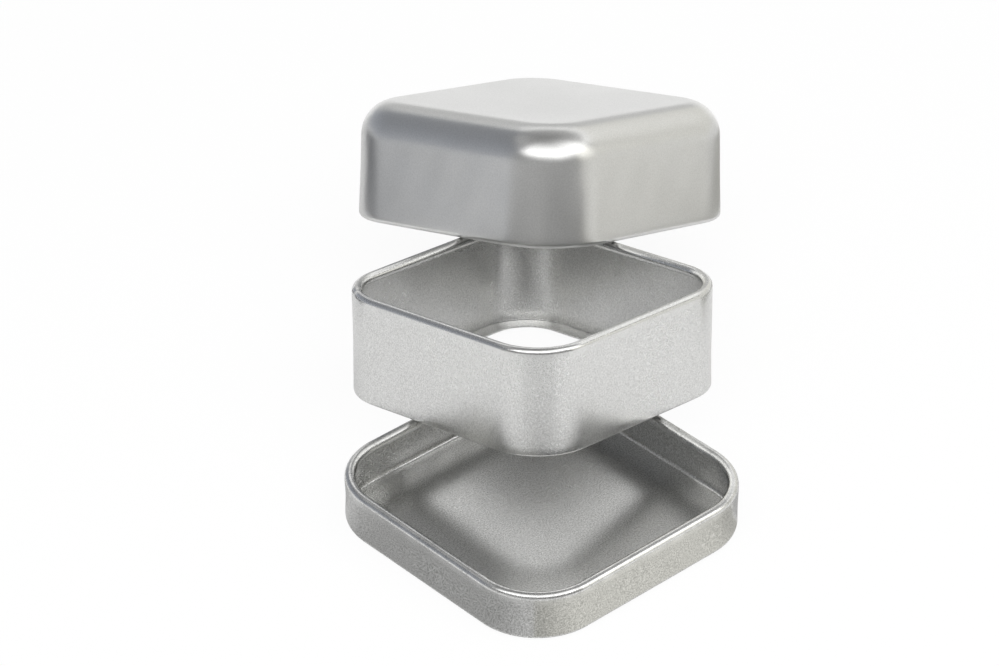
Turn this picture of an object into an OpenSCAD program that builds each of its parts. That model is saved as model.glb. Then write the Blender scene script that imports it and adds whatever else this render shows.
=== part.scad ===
/* [Sheet metal] */
// Thickness of the tinplate
sheet_t = 0.3; // [0.24:0.01:0.36]
// Outside diameter of the rolled rim on the tray and the collar
rim_d = 2.1; // [1.6:0.1:2.6]
// Outside diameter of the rolled edge at the mouth of the lid
lid_rim_d = 1.9; // [1.5:0.1:2.4]
// How far round each roll goes, in degrees, before its edge comes back to the wall
roll_sweep = 295; // [270:5:310]

/* [Tray] */
// Outside width of the tray across its flat sides
tray_w = 60; // [52:0.5:72]
// Height of the tray over its rolled rim
tray_h = 10.1; // [8:0.1:12]
// Outside radius of the tray's corners, seen from above
tray_corner_r = 13.7; // [12:0.1:18]
// Outside radius where the tray's floor turns up into its wall
tray_foot_r = 1.1; // [0.6:0.1:2]

/* [Collar] */
// Height of the collar over its rolled rim
collar_h = 21.5; // [16:0.5:26]
// Outside radius of the fold between the collar's wall and its lip
collar_fold_r = 0.5; // [0.4:0.1:1]
// Reach of the lip inward from the outside of the wall
lip_w = 3.8; // [2.5:0.1:5]
// Running gap on each side between the collar and the rims that slip over it
slip_gap = 0.15; // [0.1:0.05:0.4]

/* [Lid] */
// Height of the lid over its top panel
lid_h = 23.6; // [18:0.1:28]
// Outside radius of the soft shoulder round the lid's top panel
lid_shoulder_r = 7; // [4:0.1:9]
// How far the lid's wall draws in from its mouth to its shoulder
lid_draft = 0.35; // [0:0.05:0.8]

/* [Leaning] */
// Tilt of the collar as it leans back over the tray's rim, in degrees
collar_lean_angle = 12.7; // [11:0.1:15]
// Turn of the collar away from the tray's diagonal, in degrees
collar_heading_angle = 4.9; // [-8:0.1:8]
// Tilt of the lid as it leans back over the collar's rim, in degrees
lid_lean_angle = 22.5; // [20:0.1:26]
// Direction in which the lid leans, measured from the tray's diagonal, in degrees
lid_heading_angle = 1.5; // [-8:0.1:8]
// Turn of the lid about its own upright axis, in degrees
lid_twist_angle = 4; // [-10:0.1:10]
// Gap left where one piece rests on the next
rest_gap = 0.15; // [0.05:0.05:0.3]

/* [Hidden] */
$fn = 64;
tin = [0.78, 0.78, 0.77];
tin_warm = [0.83, 0.82, 0.80];
tin_cool = [0.72, 0.73, 0.74];
// Turn from a side of the tray to its diagonal, along which the pieces are fanned out
diagonal = 45;

// The collar slips inside the tray's rim, and the lid's rolled edge slips over the collar
collar_w = tray_w - 2 * (rim_d + slip_gap);
collar_corner_r = tray_corner_r - rim_d - slip_gap;
lid_w = collar_w + 2 * (slip_gap + lid_rim_d);
lid_corner_r = collar_corner_r + slip_gap + lid_rim_d;

// A direction or point of a leaning piece, carried from its own frame to the tray's
function turned(v, a) = [v.x * cos(a) - v.y * sin(a), v.x * sin(a) + v.y * cos(a), v.z];
function tipped(v, a) = [v.x * cos(a) + v.z * sin(a), v.y, v.z * cos(a) - v.x * sin(a)];
function leaned(v, lean) =
    turned(tipped(turned(v, lean[2] - diagonal), lean[0]), lean[1] + diagonal);

// Distance from the axis of a rounded square to the far side of its corner arc, less an inset
function corner_reach(w, r, inset, twist) = sqrt(2) * (w / 2 - r) * cos(twist) + r - inset;

// Height of a leaning piece's origin that sets its lowest corner on the table
function table_height(w, r, edge_r, lean) =
    corner_reach(w, r, edge_r, lean[2]) * sin(lean[0]) + edge_r * (1 - cos(lean[0]));

// Unit normal, pointing up, of the two crossing rims that touch
function upward(v) = v.z < 0 ? -v : v;
function touch_normal(d, e) = upward(cross(d, e) / norm(cross(d, e)));

// Centre lines of a piece's two back rims or two front edges, each as a point and a direction
function back_lines(a, h) = [[[a, 0, h], [0, 1, 0]], [[0, a, h], [1, 0, 0]]];
function front_lines(a, h) = [[[0, -a, h], [1, 0, 0]], [[-a, 0, h], [0, 1, 0]]];
function placed(lines, lean, origin) =
    [for (l = lines) [leaned(l[0], lean) + origin, leaned(l[1], lean)]];

// Origin of a piece whose two front edges rest on two rims and whose height is known
function touch_row(rim, edge, lean, z, dist) =
    let (n = touch_normal(rim[1], leaned(edge[1], lean)))
    [n.x, n.y, dist - n * (leaned(edge[0], lean) - rim[0]) - n.z * z];
function seated(rims, edges, lean, z, dist) =
    let (p = touch_row(rims[0], edges[0], lean, z, dist))
    let (q = touch_row(rims[1], edges[1], lean, z, dist))
    let (d = p.x * q.y - p.y * q.x)
    [(p.z * q.y - p.y * q.z) / d, (p.x * q.z - p.z * q.x) / d, z];

// The collar's lip rests on the tray's two back rims and its back corner on the table
collar_pose = [collar_lean_angle, collar_heading_angle, 0];
collar_z = table_height(collar_w, collar_corner_r, collar_fold_r, collar_pose);
tray_rims = back_lines((tray_w - rim_d) / 2, tray_h - rim_d / 2);
lip_edges = front_lines(collar_w / 2 - lip_w, 0);
collar_at = seated(tray_rims, lip_edges, collar_pose, collar_z, rim_d / 2 + rest_gap);

// The lid's rolled edge rests on the collar's two back rims and its back corner on the table
lid_pose = [lid_lean_angle, lid_heading_angle, lid_twist_angle];
lid_z = table_height(lid_w, lid_corner_r, lid_rim_d / 2, lid_pose);
collar_top = back_lines((collar_w - rim_d) / 2, collar_h - rim_d / 2);
collar_rims = placed(collar_top, collar_pose, collar_at);
lid_edges = front_lines((lid_w - lid_rim_d) / 2, lid_rim_d / 2);
lid_at = seated(collar_rims, lid_edges, lid_pose, lid_z, (rim_d + lid_rim_d) / 2 + rest_gap);

// Sets a piece drawn in its own frame where it leans
module lean_back(lean, origin) {
    translate(origin)
        rotate([0, 0, lean[1] + diagonal])
            rotate([0, lean[0], 0])
                rotate([0, 0, lean[2] - diagonal])
                    children();
}

// Flat sheet with rounded corners, seen from above
module rounded_square(w, r) {
    square([w, w - 2 * r], center = true);
    square([w - 2 * r, w], center = true);
    for (q = [0:3])
        rotate(90 * q)
            translate([w / 2 - r, w / 2 - r])
                circle(r = r);
}

// Carries a wall's section, drawn with its outer face at x = 0, once round a rounded square
module round_the_square(w, r) {
    run = w - 2 * r;
    for (q = [0:3])
        rotate([0, 0, 90 * q]) {
            translate([w / 2 - r, w / 2 - r, 0])
                rotate_extrude(angle = 90)
                    translate([r, 0])
                        children();
            translate([w / 2, run / 2, 0])
                rotate([90, 0, 0])
                    linear_extrude(run)
                        children();
        }
}

// Quarter bend of the sheet, from the outer face at x = 0 down to the plane y = 0
module foot_bend(r) {
    translate([-r, r])
        difference() {
            circle(r = r);
            circle(r = r - sheet_t);
            translate([-2 * r, -2 * r])
                square([2 * r, 4 * r]);
            translate([-2 * r, 0])
                square([4 * r, 2 * r]);
        }
}

// Section of a rim rolled inward, its outer face at x = 0 and its top at y = 0
module rolled_edge(d) {
    reach = d;
    translate([-d / 2, -d / 2])
        difference() {
            circle(d = d);
            circle(d = d - 2 * sheet_t);
            polygon([
                [0, 0],
                reach * [cos(roll_sweep), sin(roll_sweep)],
                [reach, -reach],
                [reach, 0]
            ]);
        }
}

module tray_section() {
    foot_bend(tray_foot_r);
    translate([-sheet_t, tray_foot_r])
        square([sheet_t, tray_h - rim_d / 2 - tray_foot_r]);
    translate([0, tray_h])
        rolled_edge(rim_d);
}

module collar_section() {
    translate([-lip_w, 0])
        square([lip_w - collar_fold_r, sheet_t]);
    foot_bend(collar_fold_r);
    translate([-sheet_t, collar_fold_r])
        square([sheet_t, collar_h - rim_d / 2 - collar_fold_r]);
    translate([0, collar_h])
        rolled_edge(rim_d);
}

module lid_section() {
    wall_top = lid_h - lid_shoulder_r;
    mirror([0, 1])
        rolled_edge(lid_rim_d);
    polygon([
        [-sheet_t, lid_rim_d / 2],
        [0, lid_rim_d / 2],
        [-lid_draft, wall_top],
        [-lid_draft - sheet_t, wall_top]
    ]);
    translate([-lid_draft, lid_h])
        mirror([0, 1])
            foot_bend(lid_shoulder_r);
}

module tray() {
    color(tin) {
        round_the_square(tray_w, tray_corner_r)
            tray_section();
        linear_extrude(sheet_t)
            rounded_square(tray_w - 2 * tray_foot_r, tray_corner_r - tray_foot_r);
    }
}

module collar() {
    color(tin_warm)
        lean_back(collar_pose, collar_at)
            round_the_square(collar_w, collar_corner_r)
                collar_section();
}

module lid() {
    panel_inset = lid_draft + lid_shoulder_r;
    color(tin_cool)
        lean_back(lid_pose, lid_at) {
            round_the_square(lid_w, lid_corner_r)
                lid_section();
            translate([0, 0, lid_h - sheet_t])
                linear_extrude(sheet_t)
                    rounded_square(lid_w - 2 * panel_inset, lid_corner_r - panel_inset);
        }
}

tray();
collar();
lid();
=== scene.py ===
import math

import bpy
import numpy as np
from mathutils import Matrix, Vector


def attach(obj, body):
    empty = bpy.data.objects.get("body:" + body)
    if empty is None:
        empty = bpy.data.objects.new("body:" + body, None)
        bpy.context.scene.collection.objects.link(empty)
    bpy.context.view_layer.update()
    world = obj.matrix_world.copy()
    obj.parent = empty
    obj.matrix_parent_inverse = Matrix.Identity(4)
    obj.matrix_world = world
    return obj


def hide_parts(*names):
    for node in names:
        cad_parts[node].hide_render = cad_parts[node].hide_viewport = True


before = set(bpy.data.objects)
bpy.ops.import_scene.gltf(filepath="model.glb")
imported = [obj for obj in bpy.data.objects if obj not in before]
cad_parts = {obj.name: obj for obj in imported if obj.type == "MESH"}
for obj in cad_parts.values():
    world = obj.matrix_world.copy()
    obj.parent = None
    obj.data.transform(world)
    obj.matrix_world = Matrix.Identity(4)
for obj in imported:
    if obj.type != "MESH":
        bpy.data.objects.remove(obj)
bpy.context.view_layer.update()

MM = 0.001

# Sheet metal
SHEET = 0.3 * MM
RIM = 2.1 * MM
LID_RIM = 1.9 * MM
ROLL_SWEEP = 295

# Tray
TRAY_W = 60 * MM
TRAY_H = 10.1 * MM
TRAY_CORNER = 13.7 * MM
TRAY_FOOT = 1.1 * MM

# Collar, which slips inside the tray's rim
COLLAR_H = 21.5 * MM
COLLAR_FOLD = 0.5 * MM
LIP = 3.8 * MM
SLIP_GAP = 0.15 * MM
COLLAR_W = TRAY_W - 2 * (RIM + SLIP_GAP)
COLLAR_CORNER = TRAY_CORNER - RIM - SLIP_GAP

# Lid, whose rolled edge slips over the collar
LID_H = 23.6 * MM
LID_SHOULDER = 7 * MM
LID_DRAFT = 0.35 * MM
LID_W = COLLAR_W + 2 * (SLIP_GAP + LID_RIM)
LID_CORNER = COLLAR_CORNER + SLIP_GAP + LID_RIM

# How the pieces lean, in degrees: tilt, turn from the tray's diagonal, twist about the own axis
COLLAR_LEAN = (12.7, 4.9, 0)
LID_LEAN = (22.5, 1.5, 4)
DIAGONAL = 45

# Fineness of the meshes
CORNER_STEPS = 28
RUN_STEPS = 22
WALL_STEPS = 14
PANEL_RINGS = 26
ROLL_STEPS = 26
FOOT_STEPS = 8
FOLD_STEPS = 6
LIP_STEPS = 5
SHOULDER_STEPS = 20
SHARP_ANGLE = 40

# The sheet's small faults: how far the walls give inward, and the nick in the collar's rim
WALL_GIVE = 0.16 * MM
LONG_WAVES = 9
LONG_WAVE_SHARE = 0.3
LONG_WAVE_START = 0.13
SHORT_WAVES = 23
SHORT_WAVE_SHARE = 0.2
SHORT_WAVE_START = 0.41
WAVE_CLIMB = 4 * MM
NICK_ALONG = 0.305
NICK_SHARPNESS = 220
NICK_DEPTH = 0.2

# Finish of the tinplate: its speckle, and the patches that rubbing leaves on the rims
SPECKS_PER_METRE = 3600
SPECK_SPAN = (0.32, 0.68)
SPECK_ROUGHNESS = 0.03
SMUDGE_ROUGHNESS = 0.04
UNEVEN_SPAN = (0.3, 0.7)
GRAIN_DEPTH = 0.02 * MM
RUBBED_TIN = (0.69, 0.69, 0.68)
PATCHES_PER_METRE = 260
PATCH_SPAN = (0.4, 0.6)
LEAST_WEAR = 0.15
WORN_ROUGHNESS = -0.03
NOISE_ROUGHNESS = 0.6


# Sections, as points with their distance out from the wall's outer face and their height
def arc(centre, radius, start, end, steps):
    """Points of an arc in a section, angles in degrees."""
    angles = np.radians(np.linspace(start, end, steps + 1))
    return [(centre[0] + radius * math.cos(a), centre[1] + radius * math.sin(a)) for a in angles]


def run(start, end, steps):
    """Points of a straight part of a section, without its two ends."""
    return [tuple(p) for p in np.linspace(start, end, steps + 1)[1:-1]]


def rolled_rim(diameter, height):
    """Outer and inner arc of a rim rolled inward, with its outer face at x = 0."""
    centre = (-diameter / 2, height - diameter / 2)
    outer = arc(centre, diameter / 2, 0, ROLL_SWEEP, ROLL_STEPS)
    inner = arc(centre, diameter / 2 - SHEET, ROLL_SWEEP, 0, ROLL_STEPS)
    return outer + inner


def tray_section():
    foot = (-TRAY_FOOT, TRAY_FOOT)
    wall_top = TRAY_H - RIM / 2
    return (
        arc(foot, TRAY_FOOT, -90, 0, FOOT_STEPS)
        + run((0, TRAY_FOOT), (0, wall_top), WALL_STEPS)
        + rolled_rim(RIM, TRAY_H)
        + run((-SHEET, wall_top), (-SHEET, TRAY_FOOT), WALL_STEPS)
        + arc(foot, TRAY_FOOT - SHEET, 0, -90, FOOT_STEPS)
    )


def collar_section():
    fold = (-COLLAR_FOLD, COLLAR_FOLD)
    wall_top = COLLAR_H - RIM / 2
    return (
        [(-LIP, 0)]
        + run((-LIP, 0), (-COLLAR_FOLD, 0), LIP_STEPS)
        + arc(fold, COLLAR_FOLD, -90, 0, FOLD_STEPS)
        + run((0, COLLAR_FOLD), (0, wall_top), WALL_STEPS)
        + rolled_rim(RIM, COLLAR_H)
        + run((-SHEET, wall_top), (-SHEET, COLLAR_FOLD), WALL_STEPS)
        + arc(fold, COLLAR_FOLD - SHEET, 0, -90, FOLD_STEPS)
        + run((-COLLAR_FOLD, SHEET), (-LIP, SHEET), LIP_STEPS)
        + [(-LIP, SHEET)]
    )


def lid_section():
    wall_top = LID_H - LID_SHOULDER
    shoulder = (-LID_DRAFT - LID_SHOULDER, wall_top)
    mouth = [(x, LID_RIM - z) for x, z in rolled_rim(LID_RIM, LID_RIM)]
    outer_roll = mouth[: ROLL_STEPS + 1][::-1]
    inner_roll = mouth[ROLL_STEPS + 1 :][::-1]
    return (
        arc(shoulder, LID_SHOULDER - SHEET, 90, 0, SHOULDER_STEPS)
        + run((-LID_DRAFT - SHEET, wall_top), (-SHEET, LID_RIM / 2), WALL_STEPS)
        + inner_roll
        + outer_roll
        + run((0, LID_RIM / 2), (-LID_DRAFT, wall_top), WALL_STEPS)
        + arc(shoulder, LID_SHOULDER, 0, 90, SHOULDER_STEPS)
    )


# Meshes
def stations(width, corner):
    """Stations once round a rounded square, in metres along its outside.

    Each holds the centre that its corner turns about, the way out, and how far round it lies.
    """
    half = width / 2 - corner
    places = []
    along = 0
    for quarter in range(4):
        turn = Matrix.Rotation(math.radians(90 * quarter), 2)
        at = turn @ Vector((half, half))
        for k in range(CORNER_STEPS):
            a = math.radians(90 * quarter + 90 * k / CORNER_STEPS)
            places.append((at.x, at.y, math.cos(a), math.sin(a), along))
            along += corner * math.radians(90) / CORNER_STEPS
        out = turn @ Vector((0, 1))
        to = turn @ Vector((-half, half))
        for k in range(RUN_STEPS):
            p = at.lerp(to, k / RUN_STEPS)
            places.append((p.x, p.y, out.x, out.y, along))
            along += 2 * half / RUN_STEPS
    places = np.array(places)
    places[:, 4] /= along
    return places


def swept(name, section, width, corner, rim, form, panels=(), closed=True):
    """One mesh: the section carried once round a rounded square, and the flat panels that fill it.

    rim is the lowest and highest point of the rolled rim. form shifts a point of the section, and
    gets how far round it lies. A panel is (index of the section's point it starts from, whether it
    faces up).
    """
    path = stations(width, corner)
    count = len(path)
    points = []
    for x, z in section:
        for cx, cy, nx, ny, along in path:
            px, pz = form(along, x, z)
            points.append((cx + (corner + px) * nx, cy + (corner + px) * ny, pz))
    faces = []

    def band(low, high):
        for k in range(count):
            n = (k + 1) % count
            faces.append((low + k, low + n, high + n, high + k))

    rows = len(section)
    for row in range(rows if closed else rows - 1):
        band(row * count, (row + 1) % rows * count)
    for row, up in panels:
        edge = [points[row * count + k] for k in range(count)]
        last = row * count
        for ring in range(1, PANEL_RINGS):
            share = 1 - ring / PANEL_RINGS
            start = len(points)
            points += [(x * share, y * share, z) for x, y, z in edge]
            band(last, start) if up else band(start, last)
            last = start
        middle = len(points)
        points.append((0, 0, edge[0][2]))
        for k in range(count):
            pair = (last + k, last + (k + 1) % count)
            faces.append((*pair, middle) if up else (*pair[::-1], middle))
    mesh = bpy.data.meshes.new(name)
    mesh.from_pydata(points, [], faces)
    mesh.validate()
    on_rim = mesh.attributes.new("rolled_rim", "FLOAT", "POINT")
    on_rim.data.foreach_set("value", [float(rim[0] <= p[2] <= rim[1]) for p in points])
    piece = bpy.data.objects.new(name, mesh)
    bpy.context.scene.collection.objects.link(piece)
    return piece


def slack(along, z):
    """How far the thin sheet gives inward of its true line, as a share from 0 to 1."""
    long_wave = math.sin(math.tau * (LONG_WAVES * along + LONG_WAVE_START) + z / WAVE_CLIMB)
    short_wave = math.sin(math.tau * (SHORT_WAVES * along + SHORT_WAVE_START) - z / WAVE_CLIMB)
    return 0.5 + LONG_WAVE_SHARE * long_wave + SHORT_WAVE_SHARE * short_wave


def swell(z, low, high):
    """Rises from 0 at the low height to 1 midway and falls to 0 at the high one."""
    share = min(max((z - low) / (high - low), 0), 1)
    return math.sin(math.pi * share)


def tray_form(along, x, z):
    return x - WALL_GIVE * slack(along, z) * swell(z, TRAY_FOOT, TRAY_H - RIM), z


def collar_form(along, x, z):
    """The collar gives a little at mid height, and its rim has a nick where the roll meets."""
    x -= WALL_GIVE * slack(along, z) * swell(z, COLLAR_FOLD, COLLAR_H - RIM)
    if z > COLLAR_H - RIM:
        off = (along - NICK_ALONG) * NICK_SHARPNESS
        pinch = 1 - NICK_DEPTH * math.exp(-off * off)
        x = -RIM / 2 + (x + RIM / 2) * pinch
        z = COLLAR_H - RIM / 2 + (z - COLLAR_H + RIM / 2) * pinch
    return x, z


def lid_form(along, x, z):
    """The lid gives most midway between its rim and its top, and not at all at its rim and panel.
    """
    return x - WALL_GIVE * slack(along, z) * swell(z, LID_RIM, LID_H), z


def lean(node, angles):
    """Matrix that sets a piece drawn in its own frame where the CAD node leans."""
    tilt, heading, twist = (math.radians(a) for a in angles)
    diagonal = math.radians(DIAGONAL)
    turn = (
        Matrix.Rotation(heading + diagonal, 3, "Z")
        @ Matrix.Rotation(tilt, 3, "Y")
        @ Matrix.Rotation(twist - diagonal, 3, "Z")
    )
    own = np.array([v.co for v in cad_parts[node].data.vertices]) @ np.array(turn)
    low, high = own.min(0), own.max(0)
    origin = turn @ Vector(((low[0] + high[0]) / 2, (low[1] + high[1]) / 2, low[2]))
    return Matrix.Translation(origin) @ turn.to_4x4()


def settle(piece, matrix, node, finish):
    """Puts a piece in the shared frame with its finish, and lets it stand for its CAD node."""
    mesh = piece.data
    mesh.transform(matrix)
    mesh.polygons.foreach_set("use_smooth", [True] * len(mesh.polygons))
    mesh.set_sharp_from_angle(angle=math.radians(SHARP_ANGLE))
    mesh.update()
    mesh.materials.append(finish)
    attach(piece, node)
    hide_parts(node)


# Finishes
def new_group(name, inputs, outputs):
    """An empty shader node group with its sockets, and its two end nodes."""
    group = bpy.data.node_groups.new(name, "ShaderNodeTree")
    for label, kind in inputs:
        group.interface.new_socket(label, in_out="INPUT", socket_type=kind)
    for label, kind in outputs:
        group.interface.new_socket(label, in_out="OUTPUT", socket_type=kind)
    return group, group.nodes.new("NodeGroupInput"), group.nodes.new("NodeGroupOutput")


def noise(tree, where, scale, detail):
    """A noise value that varies over the piece, so many times per metre."""
    node = tree.nodes.new("ShaderNodeTexNoise")
    node.inputs["Detail"].default_value = detail
    node.inputs["Roughness"].default_value = NOISE_ROUGHNESS
    tree.links.new(where.outputs["Object"], node.inputs["Vector"])
    tree.links.new(scale, node.inputs["Scale"])
    return node.outputs["Fac"]


def stretched(tree, value, span, to):
    """Maps a value from one span to another, without going past its ends."""
    node = tree.nodes.new("ShaderNodeMapRange")
    node.inputs["From Min"].default_value, node.inputs["From Max"].default_value = span
    node.inputs["To Min"].default_value, node.inputs["To Max"].default_value = to
    tree.links.new(value, node.inputs["Value"])
    return node.outputs["Result"]


def maths(tree, operation, *values):
    """The outcome of a maths node whose values are each a socket to link or a number."""
    node = tree.nodes.new("ShaderNodeMath")
    node.operation = operation
    for socket, value in zip(node.inputs, values):
        if isinstance(value, bpy.types.NodeSocket):
            tree.links.new(value, socket)
        else:
            socket.default_value = value
    return node.outputs[0]


def blended(tree, share, first, second):
    """Mixes two colours by a share."""
    node = tree.nodes.new("ShaderNodeMix")
    node.data_type = "RGBA"
    tree.links.new(share, node.inputs["Factor"])
    tree.links.new(first, node.inputs[6])
    tree.links.new(second, node.inputs[7])
    return node.outputs[2]


def tin_grain():
    """Fine speckle of a tinned sheet and the soft smudges that handling leaves on it."""
    group, given, made = new_group(
        "tin_grain",
        [
            ("Bright tin", "NodeSocketColor"),
            ("Dull tin", "NodeSocketColor"),
            ("Specks per metre", "NodeSocketFloat"),
            ("Smudges per metre", "NodeSocketFloat"),
            ("Smoothest", "NodeSocketFloat"),
        ],
        [
            ("Colour", "NodeSocketColor"),
            ("Roughness", "NodeSocketFloat"),
            ("Height", "NodeSocketFloat"),
        ],
    )
    where = group.nodes.new("ShaderNodeTexCoord")
    specks = noise(group, where, given.outputs["Specks per metre"], 2)
    smudges = noise(group, where, given.outputs["Smudges per metre"], 3)
    speck = stretched(group, specks, SPECK_SPAN, (0, 1))
    shade = blended(group, speck, given.outputs["Dull tin"], given.outputs["Bright tin"])
    smudged = stretched(group, smudges, UNEVEN_SPAN, (0, SMUDGE_ROUGHNESS))
    specked = stretched(group, specks, UNEVEN_SPAN, (SPECK_ROUGHNESS, 0))
    uneven = maths(group, "ADD", smudged, specked)
    rough = maths(group, "ADD", uneven, given.outputs["Smoothest"])
    group.links.new(shade, made.inputs["Colour"])
    group.links.new(rough, made.inputs["Roughness"])
    group.links.new(specks, made.inputs["Height"])
    return group


def rim_wear():
    """Polish that rubbing leaves in patches on the rolled rims, over a sheet's own finish."""
    group, given, made = new_group(
        "rim_wear",
        [
            ("Colour", "NodeSocketColor"),
            ("Roughness", "NodeSocketFloat"),
            ("Rubbed tin", "NodeSocketColor"),
            ("Patches per metre", "NodeSocketFloat"),
        ],
        [("Colour", "NodeSocketColor"), ("Roughness", "NodeSocketFloat")],
    )
    where = group.nodes.new("ShaderNodeTexCoord")
    rim = group.nodes.new("ShaderNodeAttribute")
    rim.attribute_name = "rolled_rim"
    patches = noise(group, where, given.outputs["Patches per metre"], 4)
    wear = stretched(group, patches, PATCH_SPAN, (LEAST_WEAR, 1))
    worn = maths(group, "MULTIPLY", rim.outputs["Fac"], wear)
    shade = blended(group, worn, given.outputs["Colour"], given.outputs["Rubbed tin"])
    smooth = maths(group, "MULTIPLY_ADD", worn, WORN_ROUGHNESS, given.outputs["Roughness"])
    group.links.new(shade, made.inputs["Colour"])
    group.links.new(smooth, made.inputs["Roughness"])
    return group


TIN_GRAIN = tin_grain()
RIM_WEAR = rim_wear()


def satin_tinplate(name, bright, dull, smudges, smoothest, bump):
    """Bare tinplate with a satin finish.

    It has two tones of tin, so many smudges per metre, a roughness where it is smoothest, and a
    grain that shows more or less strongly.
    """
    material = bpy.data.materials.new(name)
    material.use_nodes = True
    tree = material.node_tree
    shader = tree.nodes["Principled BSDF"]
    shader.inputs["Metallic"].default_value = 1
    grain = tree.nodes.new("ShaderNodeGroup")
    grain.node_tree = TIN_GRAIN
    grain.inputs["Bright tin"].default_value = (*bright, 1)
    grain.inputs["Dull tin"].default_value = (*dull, 1)
    grain.inputs["Specks per metre"].default_value = SPECKS_PER_METRE
    grain.inputs["Smudges per metre"].default_value = smudges
    grain.inputs["Smoothest"].default_value = smoothest
    wear = tree.nodes.new("ShaderNodeGroup")
    wear.node_tree = RIM_WEAR
    wear.inputs["Rubbed tin"].default_value = (*RUBBED_TIN, 1)
    wear.inputs["Patches per metre"].default_value = PATCHES_PER_METRE
    relief = tree.nodes.new("ShaderNodeBump")
    relief.inputs["Strength"].default_value = bump
    relief.inputs["Distance"].default_value = GRAIN_DEPTH
    tree.links.new(grain.outputs["Colour"], wear.inputs["Colour"])
    tree.links.new(grain.outputs["Roughness"], wear.inputs["Roughness"])
    tree.links.new(wear.outputs["Colour"], shader.inputs["Base Color"])
    tree.links.new(wear.outputs["Roughness"], shader.inputs["Roughness"])
    tree.links.new(grain.outputs["Height"], relief.inputs["Height"])
    tree.links.new(relief.outputs["Normal"], shader.inputs["Normal"])
    return material


# The tray's dark dull tone is partly painted shade. Besides its real speckle, it darkens the whole
# tray's tin, which stands in for the shade inside the tray and near its foot.
tray_finish_and_shade = satin_tinplate(
    "tray_tinplate_and_shade", bright=(0.77, 0.77, 0.76), dull=(0.37, 0.37, 0.36),
    smudges=55, smoothest=0.25, bump=0.25,
)
collar_finish = satin_tinplate(
    "collar_tinplate", bright=(0.78, 0.78, 0.77), dull=(0.54, 0.54, 0.53),
    smudges=45, smoothest=0.25, bump=0.25,
)
lid_finish = satin_tinplate(
    "lid_tinplate", bright=(0.71, 0.71, 0.70), dull=(0.62, 0.62, 0.61),
    smudges=35, smoothest=0.31, bump=0.12,
)

# Pieces
tray_rows = tray_section()
tray = swept(
    "tray_pan", tray_rows, TRAY_W, TRAY_CORNER, (TRAY_H - RIM, TRAY_H), tray_form,
    panels=((len(tray_rows) - 1, True), (0, False)), closed=False,
)
collar = swept(
    "collar_band", collar_section(), COLLAR_W, COLLAR_CORNER,
    (COLLAR_H - RIM, COLLAR_H), collar_form,
)
lid_rows = lid_section()
lid = swept(
    "lid_shell", lid_rows, LID_W, LID_CORNER, (0, LID_RIM), lid_form,
    panels=((len(lid_rows) - 1, True), (0, False)), closed=False,
)
settle(tray, Matrix.Identity(4), "tray", tray_finish_and_shade)
settle(collar, lean("collar", COLLAR_LEAN), "collar", collar_finish)
settle(lid, lean("lid", LID_LEAN), "lid", lid_finish)

# Studio
ACROSS = Vector((1, -1, 0)).normalized()
AWAY = Vector((1, 1, 0)).normalized()
UP = Vector((0, 0, 1))
STUDIO_MIDDLE = Vector((0.03, 0.033, 0.0))
AMBIENT = 0.6
PAPER_WHITE = 0.94
PAPER_WHITE_IN_METAL = 0.08
PAPER_GREY = 0.9
PAPER_ROUGHNESS = 0.9
PAPER_REACH = 4
PAPER_DROP = 0.02 * MM
CARD_STEPS = 12
FLOOR_CARD_STEPS = 48
RING_GAP = 0.3 * MM
RING_WIDTH = 16 * MM
FACING_SLACK = 0.1
COOL = (0.93, 0.98, 1.09)
WARM = (1.02, 1.01, 0.95)


def tone(level, tint=(1, 1, 1)):
    """A grey of this level with a tint."""
    return tuple(level * t for t in tint)


def toward(azimuth, elevation):
    """Direction in the studio: azimuth 0 points to the camera's side, 90 to its right."""
    a, e = math.radians(azimuth), math.radians(elevation)
    level = math.sin(a) * ACROSS - math.cos(a) * AWAY
    return math.cos(e) * level + math.sin(e) * UP


def stage_object(name, points, faces):
    mesh = bpy.data.meshes.new(name)
    mesh.from_pydata(points, [], faces)
    thing = bpy.data.objects.new(name, mesh)
    bpy.context.scene.collection.objects.link(thing)
    return thing


def reflection_only(name, points, faces, heights, low, high=None):
    """A glowing card that only reflections see, one colour at its foot and another at its top."""
    card = stage_object(name, points, faces)
    height = card.data.attributes.new("height", "FLOAT", "POINT")
    height.data.foreach_set("value", heights)
    glow = bpy.data.materials.new(name)
    glow.use_nodes = True
    tree = glow.node_tree
    tree.nodes.clear()
    share = tree.nodes.new("ShaderNodeAttribute")
    share.attribute_name = "height"
    shade = tree.nodes.new("ShaderNodeMix")
    shade.data_type = "RGBA"
    shade.inputs[6].default_value = (*low, 1)
    shade.inputs[7].default_value = (*(high or low), 1)
    light = tree.nodes.new("ShaderNodeEmission")
    out = tree.nodes.new("ShaderNodeOutputMaterial")
    tree.links.new(share.outputs["Fac"], shade.inputs["Factor"])
    tree.links.new(shade.outputs[2], light.inputs["Color"])
    tree.links.new(light.outputs[0], out.inputs["Surface"])
    card.data.materials.append(glow)
    card.visible_camera = False
    card.visible_diffuse = False
    card.visible_transmission = False
    card.visible_volume_scatter = False
    card.visible_shadow = False


def curved_card(name, azimuths, elevations, radius, low, high=None, steps=CARD_STEPS):
    """A card that stands in a curve round the object."""
    row = 2 * steps + 1
    points = []
    heights = []
    for share in np.linspace(0, 1, steps + 1):
        elevation = elevations[0] + share * (elevations[1] - elevations[0])
        for azimuth in np.linspace(*azimuths, row):
            points.append(STUDIO_MIDDLE + radius * toward(azimuth, elevation))
            heights.append(share)
    faces = [
        (j * row + i, j * row + i + 1, (j + 1) * row + i + 1, (j + 1) * row + i)
        for j in range(steps)
        for i in range(row - 1)
    ]
    reflection_only(name, points, faces, heights, low, high)


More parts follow.
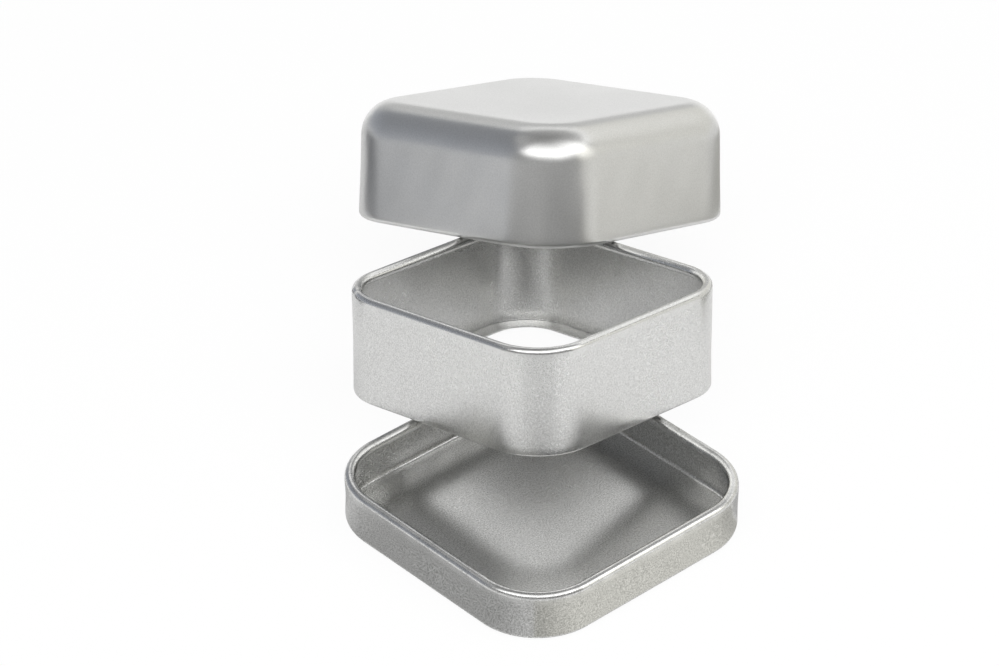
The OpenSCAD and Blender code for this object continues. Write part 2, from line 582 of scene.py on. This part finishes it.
def floor_card(name, azimuths, near, far, low, high=None):
    """A flat card on the floor between two distances from the studio's middle, with a painted tone
    of the floor that only the metal sees.
    """
    points = []
    for azimuth in np.linspace(*azimuths, FLOOR_CARD_STEPS + 1):
        for reach in (near, far):
            points.append(STUDIO_MIDDLE + reach * toward(azimuth, 0))
    faces = [(2 * k, 2 * k + 1, 2 * k + 3, 2 * k + 2) for k in range(FLOOR_CARD_STEPS)]
    reflection_only(name, points, faces, [0.0, 1.0] * (FLOOR_CARD_STEPS + 1), low, high)


def painted_shade_round_tray(name, azimuths, at_corners, at_wall=None):
    """A flat card on the floor along the tray's foot, where the foot faces between two azimuths:
    painted shade round the foot, which only the metal sees, in place of the floor's own contact
    shade.

    It may have one tone at the tray's corners and another along its walls.
    """
    first, last = azimuths
    points = []
    heights = []
    for cx, cy, nx, ny, _ in stations(TRAY_W, TRAY_CORNER):
        facing = Vector((nx, ny, 0))
        azimuth = math.degrees(math.atan2(facing.dot(ACROSS), -facing.dot(AWAY)))
        if not first - FACING_SLACK < (azimuth - first) % 360 + first < last + FACING_SLACK:
            continue
        for out in (RING_GAP, RING_WIDTH):
            points.append((cx + (TRAY_CORNER + out) * nx, cy + (TRAY_CORNER + out) * ny, 0))
            heights.append(math.sin(math.radians(2 * azimuth)) ** 2)
    faces = [
        (k, k + 2, k + 3, k + 1)
        for k in range(0, len(points) - 2, 2)
        if (Vector(points[k]) - Vector(points[k + 2])).length < TRAY_CORNER
    ]
    reflection_only(name, points, faces, heights, at_corners, at_wall)


curved_card("room_card", (-180, 180), (-4, 90), 1.2, tone(0.03), tone(0.27), steps=24)
curved_card("back_card", (165, 212), (-3, 34), 0.98, tone(0.57), tone(0.65))
curved_card("back_top_card", (108, 215), (31, 42), 0.97, tone(1.5))
curved_card("back_upper_card", (100, 230), (42, 68), 0.97, tone(0.45), tone(0.35))
curved_card("back_right_card", (112, 165), (-3, 34), 0.98, tone(0.88, WARM))
curved_card("right_card", (66, 112), (-3, 22), 0.96, tone(0.74, WARM))
curved_card("overhead_card", (-62, 100), (36, 78), 0.94, tone(3), tone(0.7))
curved_card("window_card", (66, 98), (13, 36), 0.93, tone(1.3, WARM), tone(2, WARM))
curved_card("left_card", (-150, -70), (-3, 64), 0.95, tone(0.5, COOL), tone(0.06, COOL))
curved_card("left_top_card", (-140, -80), (44, 64), 0.94, tone(0.5))
curved_card("front_left_card", (-75, -5), (-3, 23), 1.0, tone(0.42))
curved_card("front_right_card", (-5, 56), (-3, 23), 1.0, tone(0.29))
# Floor cards that only the metal sees: where darker than the paper they are painted shade, and
# where brighter they are painted light.
floor_card("floor_left_card", (-128, -88), 0.095, 0.26, tone(0.1, COOL))
floor_card("floor_far_left_card", (-110, -55), 0.28, 1.2, tone(0.92))
floor_card("floor_right_card", (92, 150), 0.08, 0.14, tone(0.45, WARM))
floor_card("floor_far_right_card", (84, 110), 0.14, 0.32, tone(0.85, WARM), tone(0.95, WARM))
floor_card("floor_back_card", (150, 215), 0.12, 0.9, tone(1.25))
floor_card("floor_front_card", (-20, 25), 0.12, 0.26, tone(0.84))
# Painted shade on the floor round the tray's foot, which only the metal sees.
painted_shade_round_tray("floor_near_left_card", (-95, 0), tone(0.7), tone(0.48))
painted_shade_round_tray("floor_near_right_card", (0, 95), tone(0.58, WARM), tone(0.9, WARM))
painted_shade_round_tray("floor_near_back_card", (95, 265), tone(0.56))


def softbox(azimuth, elevation, distance, size, radiance):
    """A soft lamp above the camera's side, given by the radiance of its face."""
    light = bpy.data.lights.new("softbox", "AREA")
    light.shape = "RECTANGLE"
    light.size, light.size_y = size
    light.energy = radiance * math.pi * size[0] * size[1]
    lamp = bpy.data.objects.new("softbox", light)
    way = toward(azimuth, elevation)
    lamp.location = STUDIO_MIDDLE + distance * way
    lamp.rotation_euler = way.to_track_quat("Z", "Y").to_euler()
    lamp.visible_camera = False
    lamp.visible_glossy = False
    bpy.context.scene.collection.objects.link(lamp)


softbox(16, 60, 0.6, (1.2, 0.55), 1.6)


def ray_share(tree, seen, mirrored, unseen):
    """One value for what the camera and glass see, one for metal and one for all other light."""
    path = tree.nodes.new("ShaderNodeLightPath")
    metal_share = (mirrored - unseen) / (seen - unseen)
    in_metal = maths(tree, "MULTIPLY", path.outputs["Is Glossy Ray"], metal_share)
    direct = maths(tree, "MAXIMUM", path.outputs["Is Camera Ray"], in_metal)
    through = maths(tree, "MAXIMUM", direct, path.outputs["Is Transmission Ray"])
    return stretched(tree, through, (0, 1), (unseen, seen))


def white_paper():
    """Floor paper that shows almost white and still takes a faint shadow."""
    paper = bpy.data.materials.new("floor_paper")
    paper.use_nodes = True
    tree = paper.node_tree
    sheet = tree.nodes["Principled BSDF"]
    sheet.inputs["Base Color"].default_value = (PAPER_GREY, PAPER_GREY, PAPER_GREY, 1)
    sheet.inputs["Roughness"].default_value = PAPER_ROUGHNESS
    white = tree.nodes.new("ShaderNodeEmission")
    both = tree.nodes.new("ShaderNodeMixShader")
    tree.links.new(ray_share(tree, PAPER_WHITE, PAPER_WHITE_IN_METAL, 0), both.inputs["Fac"])
    tree.links.new(sheet.outputs[0], both.inputs[1])
    tree.links.new(white.outputs[0], both.inputs[2])
    tree.links.new(both.outputs[0], tree.nodes["Material Output"].inputs["Surface"])
    return paper


paper_corners = [(-1, -1), (1, -1), (1, 1), (-1, 1)]
floor = stage_object(
    "floor", [(x * PAPER_REACH, y * PAPER_REACH, 0) for x, y in paper_corners], [(0, 1, 2, 3)]
)
floor.location.z = -PAPER_DROP
floor.data.materials.append(white_paper())


def studio_world():
    world = bpy.data.worlds.new("studio")
    bpy.context.scene.world = world
    world.use_nodes = True
    world.cycles.sampling_method = "NONE"
    tree = world.node_tree
    sky = tree.nodes["Background"]
    sky.inputs["Color"].default_value = (1, 1, 1, 1)
    tree.links.new(ray_share(tree, 1, 1, AMBIENT), sky.inputs["Strength"])


studio_world()

# Camera, where the photograph was taken from
FOCAL_PX = 4179.9
DISTANCE = 783.836 * MM
ELEVATION = math.radians(34.5137)
ROLL = math.radians(-0.1933)
YAW = math.radians(-2.4611)
SHIFT_RIGHT = 7.9182 * MM
SHIFT_UP = -34.6192 * MM
FRAME_PX = 999
NEAREST = 0.05
FARTHEST = 20


def camera():
    right = math.cos(YAW) * ACROSS - math.sin(YAW) * AWAY
    back = math.sin(YAW) * ACROSS + math.cos(YAW) * AWAY
    sight = math.cos(ELEVATION) * back - math.sin(ELEVATION) * UP
    above = math.sin(ELEVATION) * back + math.cos(ELEVATION) * UP
    place = -SHIFT_RIGHT * right - SHIFT_UP * above - DISTANCE * sight
    x = math.cos(ROLL) * right - math.sin(ROLL) * above
    y = math.sin(ROLL) * right + math.cos(ROLL) * above
    data = bpy.data.cameras.new("camera")
    data.sensor_fit = "HORIZONTAL"
    data.lens = FOCAL_PX / FRAME_PX * data.sensor_width
    data.clip_start, data.clip_end = NEAREST, FARTHEST
    thing = bpy.data.objects.new("camera", data)
    thing.matrix_world = Matrix.Translation(place) @ Matrix((x, y, -sight)).transposed().to_4x4()
    bpy.context.scene.collection.objects.link(thing)
    bpy.context.scene.camera = thing


camera()
bpy.context.scene.view_settings.view_transform = "Standard"
